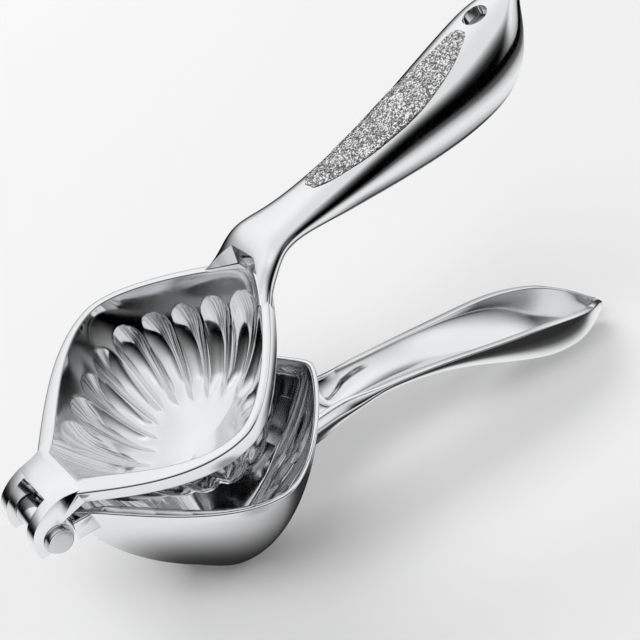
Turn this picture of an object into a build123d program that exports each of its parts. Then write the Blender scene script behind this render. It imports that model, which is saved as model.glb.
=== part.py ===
# Hinged lemon squeezer: two cast levers on one pin, shown part open.
import math
import os

from build123d import *

os.makedirs("parts", exist_ok=True)

# Rim outline, shared by both levers: lemon-shaped, measured from its widest point
rim_half_width = 41.0
rim_rear = 40.3
rim_front = 36.4
rim_rear_half = 6.9
rim_wall = 2.6
rim_rear_wall = 6.8
bowl_rim_wall = 1.5
bowl_rim_rear_wall = 5.4
bowl_rim_rear_half = 9.2
rim_inner_rear_half = 8.0
rear_lead_share = 0.846
rear_rise_share = 0.277
rear_shoulder_share = 0.446
front_shoulder_share = 0.338
front_tip_share = 0.13

# Lower bowl
bowl_height = 40.9
bowl_floor = 4.6
bowl_rake = 2.2
bowl_shape_shares = (1.48, 1.15, 0.23)
cavity_shape_shares = (1.29, 1.15, 0.2)
section_shares = (0, 0.2, 0.42, 0.64, 0.82, 0.94, 1)
hole_radius = 1.7
hole_ring_radius = 5.4
hole_count = 6

# Hinge: places in the arms are measured from the pin's axis
hinge_setback = 6.2
hinge_drop = 2.3
open_angle = 22.5
pin_radius = 2.2
pin_clearance = 0.05
head_radius = 3.3
head_height = 1.3
tail_radius = 2.9
tail_height = 1.0
washer_radius = 3.9
washer_height = 0.5
arm_outer_y = 10.0
arm_inner_y = 6.0
arm_clearance = 0.4
arm_radius = 6.2
arm_eye_radius = 3.1
arm_tail_drop = 0.9
arm_eye_start = 225
arm_bend = 5.0
bracket_top = 8.2
bracket_thickness = 4.7
bracket_reach = 15.0
window_reach = 4.5
hook_share = 0.6
knuckle_radius = 4.2
lug_gap = 4.3
lug_reach = 13.0
lug_below = 3.6
lug_above = 1.9

# Press dome
rim_gap = 0.3
flange_height = 4.2
flange_round = 0.5
dome_depth = 27.0
dome_rake = 5.0
dome_wall = 1.6
dome_shape_shares = (1.1, 1.5, 0.16)

# Flutes: tapered cuts with round ends, their axes inset from the wall; the narrow rear is plain
flutes_per_side = 10
plain_per_side = 1
press_flute_radius = 4.2
press_flute_tip_radius = 1.7
press_flute_length = 19.0
press_ring_depth = 8.3
press_ring_inset = 2.7
press_foot_depth = 21.2
press_foot_inset = 1.8
bowl_flute_radius = 4.6
bowl_flute_tip_radius = 2.9
bowl_flute_length = 24.6
bowl_ring_depth = 3.7
bowl_ring_inset = 4.0
bowl_foot_depth = 23.8
bowl_foot_inset = 2.3

# Lower handle: a trough, open on top, narrowing to a point
trough_reach = 141.6
trough_half_width = 13.9
trough_depth = 17.6
trough_rise = 31.0
trough_wall = 2.3
trough_reach_shares = (0.17, 0.22, 0.27, 0.33, 0.43, 0.54, 0.66, 0.76, 0.84, 0.91, 0.965, 0.985, 1)
trough_width_shares = (1, 0.86, 0.75, 0.7, 0.73, 0.82, 0.94, 1, 0.97, 0.82, 0.52, 0.33, 0.1)
trough_rise_shares = (1.02, 0.99, 0.96, 0.92, 0.87, 0.81, 0.73, 0.66, 0.57, 0.46, 0.31, 0.25, 0.17)
trough_depth_shares = (0.68, 0.61, 0.47, 0.33, 0.3, 0.42, 0.69, 0.93, 0.98, 0.8, 0.46, 0.3, 0.1)
trough_belly_shares = (0.55, 0.95, 0.35)
trough_hollow = slice(2, -1)

# Upper handle: a channel, open underneath, with a crowned top
grip_reach = 136.5
grip_half_width = 13.2
grip_height = 16.0
grip_wall = 2.6
grip_reach_shares = (0.2, 0.23, 0.26, 0.293, 0.33, 0.45, 0.57, 0.69, 0.79, 0.88, 0.95, 1)
grip_width_shares = (1.23, 1.1, 0.97, 0.8, 0.69, 0.64, 0.7, 0.85, 0.95, 0.89, 0.63, 0.15)
grip_top_shares = (0.05, 0.25, 0.38, 0.47, 0.43, 0.29, 0.22, 0.21, 0.24, 0.3, 0.31, 0.27)
grip_depth_shares = (0.26, 0.28, 0.27, 0.24, 0.24, 0.48, 0.75, 0.96, 1.06, 1.04, 0.65, 0.17)
grip_crown_shares = (0.62, 0.06, 0.42)
grip_belly = 4.0
grip_belly_shares = (0, 0, 0.5, 1, 1, 1, 1, 1, 1, 1, 1, 0.2)
grip_hollow = slice(5, 11)
hang_radius = 3.6
hang_setback = 13.0
notch_reach = 33.4
notch_half = 5.2
notch_side_reach = 26.8
notch_side_half = 14.3
notch_lean_share = 0.3

overrun = 20.0

# Frames: x from the rim's widest point and z from the foot, as when the squeezer is closed
hinge_reach = rim_rear + hinge_setback
hinge_height = bowl_height - hinge_drop
lower_frame = Plane((bowl_rake, 0, 0))
hinge_frame = Plane((bowl_rake - hinge_reach, 0, hinge_height))
open_hinge_frame = hinge_frame.rotated((0, -open_angle, 0))
upper_frame = Plane(open_hinge_frame.location * Location((hinge_reach, 0, -hinge_height)))
flange_bottom = bowl_height + rim_gap
press_top = flange_bottom + flange_height


def across(frame, reach):
    # Plane across a lever, reach from the rim's widest point
    return Plane(frame.from_local_coords((reach, 0, 0)), x_dir=frame.y_dir, z_dir=frame.x_dir)


def beside(frame):
    # Plane along a lever's middle, x along it and y up
    return Plane(frame.origin, x_dir=frame.x_dir, z_dir=-frame.y_dir)


def rim_side(half_width, rear, front, rear_half):
    # Half of the rim's outline, from the middle of its rear to the middle of its front
    with BuildLine() as side:
        Line((-rear, 0), (-rear, rear_half))
        Bezier(
            (-rear, rear_half),
            (-rear * rear_lead_share, half_width * rear_rise_share),
            (-rear * rear_shoulder_share, half_width),
            (0, half_width),
        )
        Bezier(
            (0, half_width),
            (front * front_shoulder_share, half_width),
            (front, half_width * front_tip_share),
            (front, 0),
        )
    return side.wire()


def rim_face(plane, *outline):
    side = rim_side(*outline)
    with BuildSketch(plane) as face:
        with BuildLine():
            add(side)
            mirror(about=Plane.XZ)
        make_face()
    return face.sketch


def rim_taper(depth_share, shape_shares):
    fall, roundness, foot = shape_shares
    return (1 - (1 - foot**roundness) * depth_share**fall) ** (1 / roundness)


def bowl_sections(frame, top, depth, outline, shape_shares, rake):
    sections = []
    for depth_share in section_shares:
        level = top - depth * depth_share
        shift = Location((-rake * depth_share, 0, level))
        taper = rim_taper(depth_share, shape_shares)
        sections.append(rim_face(Plane(frame.location * shift), *[size * taper for size in outline]))
    return sections


def flute_tool(radius, tip_radius, length):
    lean = math.degrees(math.asin((radius - tip_radius) / length))
    with BuildPart() as tool:
        with BuildSketch(Plane.XZ):
            with BuildLine():
                head = CenterArc((0, 0), radius, -90, 90 + lean)
                tip = CenterArc((0, length), tip_radius, lean, 90 - lean)
                Line(head @ 1, tip @ 0)
                Line(tip @ 1, head @ 0)
            make_face()
        revolve(axis=Axis.Z)
    return tool.part


def flute_places(frame, top, depth, outline, shape_shares, rake, ring, foot):
    # Places along the wall, in pairs either side of the middle; ring and foot are a depth and an inset
    rows = []
    for level, inset in (ring, foot):
        taper = rim_taper(level / depth, shape_shares)
        side = rim_side(*[size * taper - inset for size in outline])
        shares = [(number + 1 / 2) / flutes_per_side for number in range(plain_per_side, flutes_per_side)]
        spots = [side.position_at(share) for share in shares]
        rows.append([Vector(spot.X - rake * level / depth, spot.Y, top - level) for spot in spots])
    places = []
    for start, end in zip(*rows):
        for flip in (1, -1):
            blunt = frame.from_local_coords((start.X, start.Y * flip, start.Z))
            tail = frame.from_local_coords((end.X, end.Y * flip, end.Z))
            places.append(Plane(blunt, x_dir=frame.z_dir, z_dir=tail - blunt).location)
    return places


def trough_face(plane, half_width, rim, depth, wall):
    belly_x, flank_x, flank_z = trough_belly_shares
    side = half_width - wall
    bottom = wall - depth
    mouth = rim + (overrun if wall else 0)
    with BuildSketch(plane) as face:
        with BuildLine():
            Bezier(
                (0, rim + bottom),
                (side * belly_x, rim + bottom),
                (side * flank_x, rim + bottom * (1 - flank_z)),
                (side, rim),
            )
            if wall:
                Line((side, rim), (side, mouth))
            mirror(about=Plane.YZ)
            Line((-side, mouth), (side, mouth))
        make_face()
    return face.sketch


def grip_face(plane, half_width, top, depth, belly, wall):
    crown_x, flank_z, shoulder_z = grip_crown_shares
    side = half_width - wall
    crown = top - wall
    edge = top - depth - (overrun if wall else 0)
    with BuildSketch(plane) as face:
        with BuildLine():
            Bezier(
                (0, crown),
                (side * crown_x, crown),
                (side, crown - depth * flank_z),
                (side, crown - depth * shoulder_z),
            )
            Line((side, crown - depth * shoulder_z), (side, edge))
            Bezier((side, edge), (side * crown_x, edge - belly), (0, edge - belly))
            mirror(about=Plane.YZ)
        make_face()
    return face.sketch


def notch_face(height):
    # Recess at the handle's root, leaning back as it rises from the press's rim
    lean = height * notch_lean_share
    with BuildSketch(upper_frame.offset(press_top + height)) as face:
        with BuildLine():
            Polyline(
                (0, notch_side_half),
                (notch_side_reach + lean, notch_side_half),
                (notch_reach + lean, notch_half),
                (notch_reach + lean, -notch_half),
                (notch_side_reach + lean, -notch_side_half),
                (0, -notch_side_half),
                close=True,
            )
        make_face()
    return face.sketch


outer_rim = (rim_half_width, rim_rear, rim_front, rim_rear_half)
press_rim = (rim_half_width - rim_wall, rim_rear - rim_rear_wall, rim_front - rim_wall, rim_inner_rear_half)
dome_rim = [size + dome_wall for size in press_rim]
bowl_rim = (
    rim_half_width - bowl_rim_wall,
    rim_rear - bowl_rim_rear_wall,
    rim_front - bowl_rim_wall,
    bowl_rim_rear_half,
)
cavity_depth = bowl_height - bowl_floor

trough_rows = [
    (
        across(lower_frame, trough_reach * reach),
        trough_half_width * width,
        trough_rise * rise,
        trough_depth * depth,
    )
    for reach, width, rise, depth in zip(
        trough_reach_shares, trough_width_shares, trough_rise_shares, trough_depth_shares
    )
]
grip_rows = [
    (
        across(upper_frame, grip_reach * reach),
        grip_half_width * width,
        press_top + grip_height * top,
        grip_height * depth,
        grip_belly * belly,
    )
    for reach, width, top, depth, belly in zip(
        grip_reach_shares, grip_width_shares, grip_top_shares, grip_depth_shares, grip_belly_shares
    )
]
bowl_places = flute_places(
    lower_frame,
    bowl_height,
    cavity_depth,
    bowl_rim,
    cavity_shape_shares,
    bowl_rake,
    (bowl_ring_depth, bowl_ring_inset),
    (bowl_foot_depth, bowl_foot_inset),
)
press_places = flute_places(
    upper_frame,
    press_top,
    dome_depth,
    press_rim,
    dome_shape_shares,
    dome_rake,
    (press_ring_depth, press_ring_inset),
    (press_foot_depth, press_foot_inset),
)

# Lower lever: bowl, hinge block and trough handle in one casting
with BuildPart() as lower_lever:
    loft(bowl_sections(lower_frame, bowl_height, bowl_height, outer_rim, bowl_shape_shares, bowl_rake))
    loft([trough_face(*row, 0) for row in trough_rows])
    with BuildSketch(beside(hinge_frame)):
        with BuildLine():
            Polyline(
                (lug_gap, lug_above),
                (lug_reach, lug_above),
                (lug_reach, -lug_below),
                (lug_gap, -lug_below),
                close=True,
            )
        make_face()
    extrude(amount=arm_outer_y, both=True)
    with BuildSketch(beside(hinge_frame)):
        Circle(knuckle_radius)
        with BuildLine():
            Polyline(
                (0, lug_above),
                (lug_reach, lug_above),
                (lug_reach, -lug_below),
                (0, -lug_below),
                close=True,
            )
        make_face()
    extrude(amount=arm_inner_y - arm_clearance, both=True)
    loft(
        bowl_sections(lower_frame, bowl_height, cavity_depth, bowl_rim, cavity_shape_shares, bowl_rake),
        mode=Mode.SUBTRACT,
    )
    with Locations(*bowl_places):
        add(flute_tool(bowl_flute_radius, bowl_flute_tip_radius, bowl_flute_length), mode=Mode.SUBTRACT)
    loft(
        [trough_face(*row, trough_wall) for row in trough_rows[trough_hollow]],
        mode=Mode.SUBTRACT,
    )
    with BuildSketch():
        with PolarLocations(hole_ring_radius, hole_count):
            Circle(hole_radius)
    extrude(amount=overrun, mode=Mode.SUBTRACT)
    with BuildSketch(beside(hinge_frame)):
        Circle(pin_radius + pin_clearance)
    extrude(amount=arm_outer_y + overrun, both=True, mode=Mode.SUBTRACT)
lower_lever.part.label = "lower_lever"
export_step(lower_lever.part, "parts/lower_lever.step")

# Upper lever: flange, fluted press dome, hinge bracket and channel handle in one casting
with BuildPart() as upper_lever:
    add(rim_face(upper_frame.offset(flange_bottom), *outer_rim))
    extrude(amount=flange_height)
    flange_levels = edges().group_by(Axis(upper_frame.origin, upper_frame.z_dir))
    fillet(flange_levels[0] + flange_levels[-1], flange_round)
    loft(
        bowl_sections(upper_frame, press_top, dome_depth + dome_wall, dome_rim, dome_shape_shares, dome_rake)
    )
    with Locations(*press_places):
        add(
            flute_tool(
                press_flute_radius + dome_wall, press_flute_tip_radius + dome_wall, press_flute_length
            )
        )
    loft([grip_face(*row, 0) for row in grip_rows])
    with BuildSketch(beside(open_hinge_frame)):
        with BuildLine():
            bend = Line((bracket_reach, bracket_top), (arm_bend, bracket_top))
            hook = Bezier(
                bend @ 1,
                (-arm_radius * (1 - hook_share), bracket_top),
                (-arm_radius, bracket_top * hook_share),
                (-arm_radius, -arm_tail_drop),
            )
            eye = CenterArc((0, 0), arm_eye_radius, arm_eye_start, 360 - arm_eye_start)
            Line(hook @ 1, eye @ 0)
            Polyline(
                eye @ 1,
                (arm_bend, bracket_top - bracket_thickness),
                (bracket_reach, bracket_top - bracket_thickness),
                bend @ 0,
            )
        make_face()
    extrude(amount=arm_outer_y, both=True)
    with BuildSketch(open_hinge_frame):
        with Locations((window_reach, 0)):
            Rectangle(overrun, arm_inner_y + arm_inner_y, align=(Align.MAX, Align.CENTER))
    extrude(amount=overrun, both=True, mode=Mode.SUBTRACT)
    loft(
        bowl_sections(upper_frame, press_top, dome_depth, press_rim, dome_shape_shares, dome_rake),
        mode=Mode.SUBTRACT,
    )
    with Locations(*press_places):
        add(flute_tool(press_flute_radius, press_flute_tip_radius, press_flute_length), mode=Mode.SUBTRACT)
    add(rim_face(upper_frame.offset(press_top), *press_rim))
    extrude(amount=overrun, mode=Mode.SUBTRACT)
    loft([notch_face(0), notch_face(overrun)], ruled=True, mode=Mode.SUBTRACT)
    loft(
        [grip_face(*row, grip_wall) for row in grip_rows[grip_hollow]],
        mode=Mode.SUBTRACT,
    )
    with BuildSketch(upper_frame.offset(press_top)):
        with Locations((grip_reach - hang_setback, 0)):
            Circle(hang_radius)
    extrude(amount=overrun, both=True, mode=Mode.SUBTRACT)
    with BuildSketch(beside(open_hinge_frame)):
        Circle(pin_radius + pin_clearance)
    extrude(amount=arm_outer_y + overrun, both=True, mode=Mode.SUBTRACT)
upper_lever.part.label = "upper_lever"
export_step(upper_lever.part, "parts/upper_lever.step")

# Hinge pin, headed on the near side and upset on the far side
with BuildPart() as hinge_pin:
    with BuildSketch(beside(open_hinge_frame)):
        Circle(pin_radius)
    extrude(amount=arm_outer_y, both=True)
    with BuildSketch(beside(open_hinge_frame).offset(arm_outer_y + washer_height)):
        Circle(head_radius)
    extrude(amount=head_height)
    with BuildSketch(beside(open_hinge_frame).offset(arm_outer_y)):
        Circle(pin_radius)
    extrude(amount=washer_height)
    with BuildSketch(beside(open_hinge_frame).offset(-arm_outer_y)):
        Circle(tail_radius)
    extrude(amount=-tail_height)
hinge_pin.part.label = "hinge_pin"
export_step(hinge_pin.part, "parts/hinge_pin.step")

# Washer under the pin's head
with BuildPart() as pin_washer:
    with BuildSketch(beside(open_hinge_frame).offset(arm_outer_y)):
        Circle(washer_radius)
        Circle(pin_radius + pin_clearance, mode=Mode.SUBTRACT)
    extrude(amount=washer_height)
pin_washer.part.label = "pin_washer"
export_step(pin_washer.part, "parts/pin_washer.step")
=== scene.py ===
import bmesh
import bpy
import math
import numpy as np
from mathutils import Matrix, Vector


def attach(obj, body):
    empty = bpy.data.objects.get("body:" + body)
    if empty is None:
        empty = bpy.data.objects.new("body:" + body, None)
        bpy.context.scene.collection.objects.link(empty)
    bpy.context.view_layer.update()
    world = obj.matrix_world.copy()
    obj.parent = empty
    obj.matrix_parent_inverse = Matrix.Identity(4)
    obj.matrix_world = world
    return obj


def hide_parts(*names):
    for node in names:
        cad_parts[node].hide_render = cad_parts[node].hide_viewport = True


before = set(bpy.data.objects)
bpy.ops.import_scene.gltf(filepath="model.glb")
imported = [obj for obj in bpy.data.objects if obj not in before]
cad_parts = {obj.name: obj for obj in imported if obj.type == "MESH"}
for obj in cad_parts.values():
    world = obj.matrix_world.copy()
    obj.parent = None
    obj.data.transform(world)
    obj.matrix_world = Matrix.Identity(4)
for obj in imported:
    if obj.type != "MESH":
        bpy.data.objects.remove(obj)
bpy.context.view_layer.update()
scene = bpy.context.scene
mm = 0.001
weldGap = 1e-7

# where the two levers meet: the hinge line, and how far the upper lever is swung open
hinge = {"x": -44.3, "z": 38.6, "reach": 46.5, "openAngle": math.radians(22.5)}


def lowerPlace(points):
    # x from the widest point of the rim, z from the foot
    placed = np.array(points, float)
    placed[..., 0] += hinge["x"] + hinge["reach"]
    return placed * mm


def upperPlace(points):
    # same coordinates, drawn closed, then swung open round the hinge
    return hingePlace(np.array(points, float) + (hinge["reach"], 0, -hinge["z"]), hinge["openAngle"])


def hingePlace(points, swing):
    # x and z from the hinge line
    drawn = np.array(points, float)
    c, s = math.cos(swing), math.sin(swing)
    x = hinge["x"] + c * drawn[..., 0] - s * drawn[..., 2]
    z = hinge["z"] + s * drawn[..., 0] + c * drawn[..., 2]
    return np.stack([x, drawn[..., 1], z], -1) * mm


def addObject(name, data):
    made = bpy.data.objects.new(name, data)
    scene.collection.objects.link(made)
    return made


def newPiece(name, points, faces):
    mesh = bpy.data.meshes.new(name)
    mesh.from_pydata([tuple(p) for p in points], [], faces)
    shell = bmesh.new()
    shell.from_mesh(mesh)
    bmesh.ops.remove_doubles(shell, verts=shell.verts, dist=weldGap)
    bmesh.ops.recalc_face_normals(shell, faces=shell.faces)
    shell.to_mesh(mesh)
    shell.free()
    return addObject(name, mesh)


def ringFaces(rows, count):
    # faces between rings of equal length
    faces = []
    for row in range(rows - 1):
        a, b = row * count, (row + 1) * count
        for i in range(count):
            j = (i + 1) % count
            faces.append((a + i, a + j, b + j, b + i))
    return faces


def ringSkin(name, rings):
    # closed skin over the rings; the first and last ring are closed off
    rows, count = rings.shape[:2]
    faces = ringFaces(rows, count)
    points = np.vstack([rings.reshape(-1, 3), rings[0].mean(0), rings[-1].mean(0)])
    first, last = len(points) - 2, len(points) - 1
    for i in range(count):
        j = (i + 1) % count
        faces.append((first, j, i))
        faces.append((last, (rows - 1) * count + i, (rows - 1) * count + j))
    return newPiece(name, points, faces)


def applied(piece):
    # turns the evaluated piece into its own plain mesh
    bpy.context.view_layer.update()
    seen = piece.evaluated_get(bpy.context.evaluated_depsgraph_get())
    mesh = bpy.data.meshes.new_from_object(seen)
    old = piece.data
    piece.modifiers.clear()
    piece.data = mesh
    bpy.data.meshes.remove(old)
    return piece


def combine(piece, tool, operation):
    step = piece.modifiers.new("combine", "BOOLEAN")
    step.operation = operation
    step.solver = "MANIFOLD"
    step.object = tool
    applied(piece)
    bpy.data.objects.remove(tool)
    return piece


def shadeSmooth(piece, angle=35):
    piece.data.polygons.foreach_set("use_smooth", [True] * len(piece.data.polygons))
    piece.data.set_sharp_from_angle(angle=math.radians(angle))
    return piece


def curve(stations, values, at, soften=0.0):
    # natural cubic through the stations, then softened so that reflections run smoothly
    x, y = np.array(stations, float), np.array(values, float)
    h = np.diff(x)
    size = len(x)
    system, right = np.eye(size), np.zeros(size)
    for i in range(1, size - 1):
        system[i, i - 1:i + 2] = h[i - 1], 2 * (h[i - 1] + h[i]), h[i]
        right[i] = 6 * ((y[i + 1] - y[i]) / h[i] - (y[i] - y[i - 1]) / h[i - 1])
    bend = np.linalg.solve(system, right)

    def value(q):
        k = np.clip(np.searchsorted(x, q) - 1, 0, size - 2)
        a, b = x[k + 1] - q, q - x[k]
        w = h[k]
        return (bend[k] * a**3 + bend[k + 1] * b**3) / (6 * w) + (y[k] / w - bend[k] * w / 6) * a + (
            y[k + 1] / w - bend[k + 1] * w / 6
        ) * b

    at = np.array(at, float)
    if not soften:
        return value(np.clip(at, x[0], x[-1]))
    spread = np.linspace(-2, 2, 17)
    weights = np.exp(-spread**2)
    total = sum(w * value(np.clip(at + soften * d, x[0], x[-1])) for w, d in zip(weights, spread))
    return total / weights.sum()


def bezier(p0, p1, p2, p3, t):
    t = np.array(t, float)[:, None]
    p0, p1, p2, p3 = (np.array(p, float) for p in (p0, p1, p2, p3))
    return (1 - t) ** 3 * p0 + 3 * t * (1 - t) ** 2 * p1 + 3 * t**2 * (1 - t) * p2 + t**3 * p3


def smoothStep(low, high, value):
    t = np.clip((value - low) / (high - low), 0, 1)
    return t * t * (3 - 2 * t)


# lemon-shaped rim, shared by both levers
rim = {
    "outer": (41.0, 40.3, 36.4, 6.9),  # half width, rear, front, half of the flat rear
    "rearLead": 0.846,
    "rearRise": 0.277,
    "rearShoulder": 0.446,
    "frontShoulder": 0.338,
    "frontTip": 0.13,
    "flutesPerSide": 10,
    "samples": 8000,  # for each of the three parts of the outline
    "wallSamples": 4000,
}


def rimHalf(sizes, track):
    halfWidth, rear, front, rearHalf = sizes
    part, t = track
    flat = np.stack([np.full(len(t), -rear), rearHalf * t], 1)
    back = bezier(
        (-rear, rearHalf), (-rear * rim["rearLead"], halfWidth * rim["rearRise"]),
        (-rear * rim["rearShoulder"], halfWidth), (0, halfWidth), t,
    )
    fore = bezier(
        (0, halfWidth), (front * rim["frontShoulder"], halfWidth),
        (front, halfWidth * rim["frontTip"]), (front, 0), t,
    )
    return np.where((part == 0)[:, None], flat, np.where((part == 1)[:, None], back, fore))


def rimTrack(sizes, count):
    # evenly spaced places along half of the outline, rear to front
    part = np.repeat([0, 1, 2], rim["samples"])
    t = np.tile(np.linspace(0, 1, rim["samples"]), 3)
    path = rimHalf(sizes, (part, t))
    run = np.concatenate([[0], np.cumsum(np.linalg.norm(np.diff(path, axis=0), axis=1))])
    share = np.linspace(0, 1, count + 1)
    index = np.clip(np.searchsorted(run, share * run[-1]), 0, len(t) - 1)
    return (part[index], t[index]), share


def rimLoop(sizes, track):
    half = rimHalf(sizes, track)
    other = half[-2:0:-1] * np.array([1, -1])
    return np.vstack([half, other])


def bowlRows(sizes, rows, track):
    # rows of (taper, inset, shift, height) make rings that follow the rim
    rings = []
    for taper, inset, shift, height in rows:
        loop = rimLoop([max(size * taper - inset, 0.0) for size in sizes], track)
        rings.append(np.column_stack([loop[:, 0] - shift, loop[:, 1], np.full(len(loop), height)]))
    return np.array(rings)


def innerSizes(cup, margin=0.0):
    # the rim's sizes taken in to the inside of the bowl or press, and out again by a margin
    halfWidth, rear, front, _ = rim["outer"]
    inset = cup["rimInset"] - margin
    return halfWidth - inset, rear - cup["rearWall"] + margin, front - inset, cup["rearHalf"]


def surfaceNormals(rings):
    around = np.roll(rings, -1, 1) - np.roll(rings, 1, 1)
    along = np.gradient(rings, axis=0)
    normal = np.cross(around, along)
    length = np.linalg.norm(normal, axis=-1, keepdims=True)
    return normal / np.maximum(length, 1e-9)


def evenProfile(radius, shape, count):
    # depth shares at even steps along the wall, and the taper at each
    share = np.linspace(0, 1, rim["wallSamples"])
    taper = shape(share)
    run = np.concatenate([[0], np.cumsum(np.hypot(np.diff(taper) * radius[0], np.diff(share) * radius[1]))])
    steps = np.interp(np.linspace(0, run[-1], count), run, share)
    return steps, shape(steps)


def edgeRound(radius, start, end, count=6):
    # inset and drop round an edge, angles from level to upright
    angles = np.radians(np.linspace(start, end, count))
    return radius * (1 - np.sin(angles)), radius * (1 - np.cos(angles))


# the lower lever's bowl
bowl = {
    "height": 40.9, "floor": 4.6, "rake": 2.2, "rimInset": 1.5, "rearWall": 5.4, "rearHalf": 9.2,
    "outerShape": (1.48, 1.15, 0.23), "cavityShape": (1.42, 1.15, 0.2), "edge": 0.6,
    "fluteDepth": 0.75, "fluteTop": 1.8, "fluteFoot": 29.0, "fluteFade": (2.6, 12), "fluteRound": 2.4,
    "around": 400, "cavityRows": 84, "outsideRows": 60,
    "floorSteps": (0.25, 0.6, 0.9), "footSteps": (0.96, 0.6, 0.25),
    "holeRing": 5.4, "holeRadius": 1.7, "holeCount": 6, "holeSides": 40, "holeCut": 20, "edgeClear": 1.2,
    "roomMargin": 1.0, "roomAround": 120, "roomRows": 40, "roomRise": 10,
}


def castTaper(shape):
    fall, roundness, foot = shape
    return lambda share: (1 - (1 - foot**roundness) * share**fall) ** (1 / roundness)


def fluteWave(share):
    # place across the nearest flute, -1 to 1, and whether it is one of the cut ones
    number = np.clip(np.floor(share * rim["flutesPerSide"]), 0, rim["flutesPerSide"] - 1)
    across = (share * rim["flutesPerSide"] - number) * 2 - 1
    return across, number >= 1


def aroundLoop(values):
    return np.concatenate([values, values[-2:0:-1]])


def cavityWall(rows, margin=0.0):
    # the cavity's sizes at the rim, and its wall's rows from the floor up
    inner = innerSizes(bowl, margin)
    depth = bowl["height"] - bowl["floor"]
    steps, tapers = evenProfile((inner[0], depth), castTaper(bowl["cavityShape"]), rows)
    return inner, [(t, 0, bowl["rake"] * s, bowl["height"] - depth * s) for s, t in zip(steps, tapers)][::-1]


def makeBowl():
    track, share = rimTrack(rim["outer"], bowl["around"] // 2)
    inner, wall = cavityWall(bowl["cavityRows"])
    floorRows = [(wall[0][0] * k, 0, bowl["rake"], bowl["floor"]) for k in bowl["floorSteps"]]
    insets, drops = edgeRound(bowl["edge"], 90, 0)
    cavity = bowlRows(inner, floorRows + wall, track)
    outSize = rim["outer"][0], bowl["height"]
    outSteps, outTapers = evenProfile(outSize, castTaper(bowl["outerShape"]), bowl["outsideRows"])
    lip = [(1, i, 0, bowl["height"] - d) for i, d in zip(*edgeRound(bowl["edge"], 0, 90))]
    outside = [(t, 0, bowl["rake"] * s, bowl["height"] - bowl["height"] * s) for s, t in zip(outSteps, outTapers)]
    outside = [row for row in outside if row[3] < bowl["height"] - bowl["edge"] * bowl["edgeClear"]]
    foot = [(outTapers[-1] * k, 0, bowl["rake"], 0) for k in bowl["footSteps"]]
    # the flutes press into the cavity's wall and die out under the rim and over the floor
    across, cut = fluteWave(share)
    across, cut = aroundLoop(across), aroundLoop(cut)
    scoop = (1 - np.abs(across) ** bowl["fluteRound"]) * cut
    down = bowl["height"] - cavity[..., 2]
    fadeIn, fadeOut = bowl["fluteFade"]
    fade = smoothStep(bowl["fluteTop"], bowl["fluteTop"] + fadeIn, down) * (
        1 - smoothStep(bowl["fluteFoot"] - fadeOut, bowl["fluteFoot"], down))
    cavity += surfaceNormals(cavity) * (bowl["fluteDepth"] * fade * scoop[None])[..., None] * bowlSide(cavity)
    innerLip = bowlRows(inner, [(1, -i, 0, bowl["height"] - d) for i, d in zip(insets, drops)], track)
    rings = np.concatenate([cavity[:-1], innerLip, bowlRows(rim["outer"], lip + outside + foot, track)])
    return ringSkin("bowlShell", lowerPlace(rings))


def bowlRoom():
    # the room inside the bowl, a little wider than its flutes, to trim what is joined on outside
    track, _ = rimTrack(rim["outer"], bowl["roomAround"])
    inner, wall = cavityWall(bowl["roomRows"], bowl["roomMargin"])
    rows = wall + [(1, 0, 0, bowl["height"] + bowl["roomRise"])]
    return ringSkin("bowlRoom", lowerPlace(bowlRows(inner, rows, track)))


def bowlSide(rings):
    # sign that turns the rings' normals away from the bowl's middle
    middle = rings.mean(axis=(0, 1))
    normal = surfaceNormals(rings)
    return 1.0 if np.sum((rings - middle) * normal) > 0 else -1.0


# the press: flange and fluted dome; fluteTops are depths under the rim by share of the way round from the hinge
press = {
    "top": 45.4, "flange": 4.2, "rimInset": 2.6, "rearWall": 6.8, "rearHalf": 8.0, "edge": 0.7, "innerEdge": 0.7,
    "depth": 28.2, "rake": 5.8, "rakeBend": 1.8, "wall": 1.6, "fall": 1.3, "round": 0.4, "rootGap": 0.5,
    "fluteDepth": 2.25, "lobeDepth": 1.3, "fluteEnd": 5.6, "ridge": 0.93, "fluteFull": 22.4, "fluteFoot": 26.4,
    "fluteTops": ((0.0, 2.0), (0.15, 2.4), (0.25, 4.6), (0.35, 6.6), (0.5, 7.6), (0.75, 7.4), (0.95, 6.4),
                  (1.0, 6.2)),
    "rearFlutes": (0, 0.45, 0.8, 1),  # share of the full depth, flute by flute from the hinge
    "topShare": 0.4, "topRun": 11, "footShare": 0.45, "scoopPower": 0.9,
    "around": 520, "insideRows": 104, "outsideRows": 40,
}


def domeTaper(share):
    return np.maximum(1 - share ** press["fall"], 0) ** press["round"]


def domeShift(share):
    return press["rake"] * share ** press["rakeBend"]


def fluteCut(rings, share, depth):
    # long scoops with round upper ends and narrow ridges between them, running out over the dome's foot
    across, cut = fluteWave(share)
    across = np.minimum(np.abs(aroundLoop(across))[None] / press["ridge"], 1)
    number = np.floor(np.minimum(share, 0.999) * rim["flutesPerSide"])
    rear = aroundLoop(np.interp(number, range(len(press["rearFlutes"])), press["rearFlutes"]))[None]
    tops = aroundLoop(np.interp((number + 0.5) / rim["flutesPerSide"], *zip(*press["fluteTops"])))[None]
    down = press["top"] - rings[..., 2]
    taper = domeTaper(np.clip(down / press["depth"], 0, 1))
    end = np.clip((tops + press["fluteEnd"] - down) / press["fluteEnd"], 0, 1.5)
    topShare, footShare = press["topShare"], press["footShare"]
    scoop = np.maximum(1 - across**2 - end**2, 0) ** press["scoopPower"]
    scoop = scoop * (topShare + (1 - topShare) * smoothStep(tops, tops + press["topRun"], down))
    fade = 1 - smoothStep(press["fluteFull"], press["fluteFoot"], down)
    return depth * (footShare + (1 - footShare) * taper) * scoop * fade * rear * aroundLoop(cut)[None]


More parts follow.
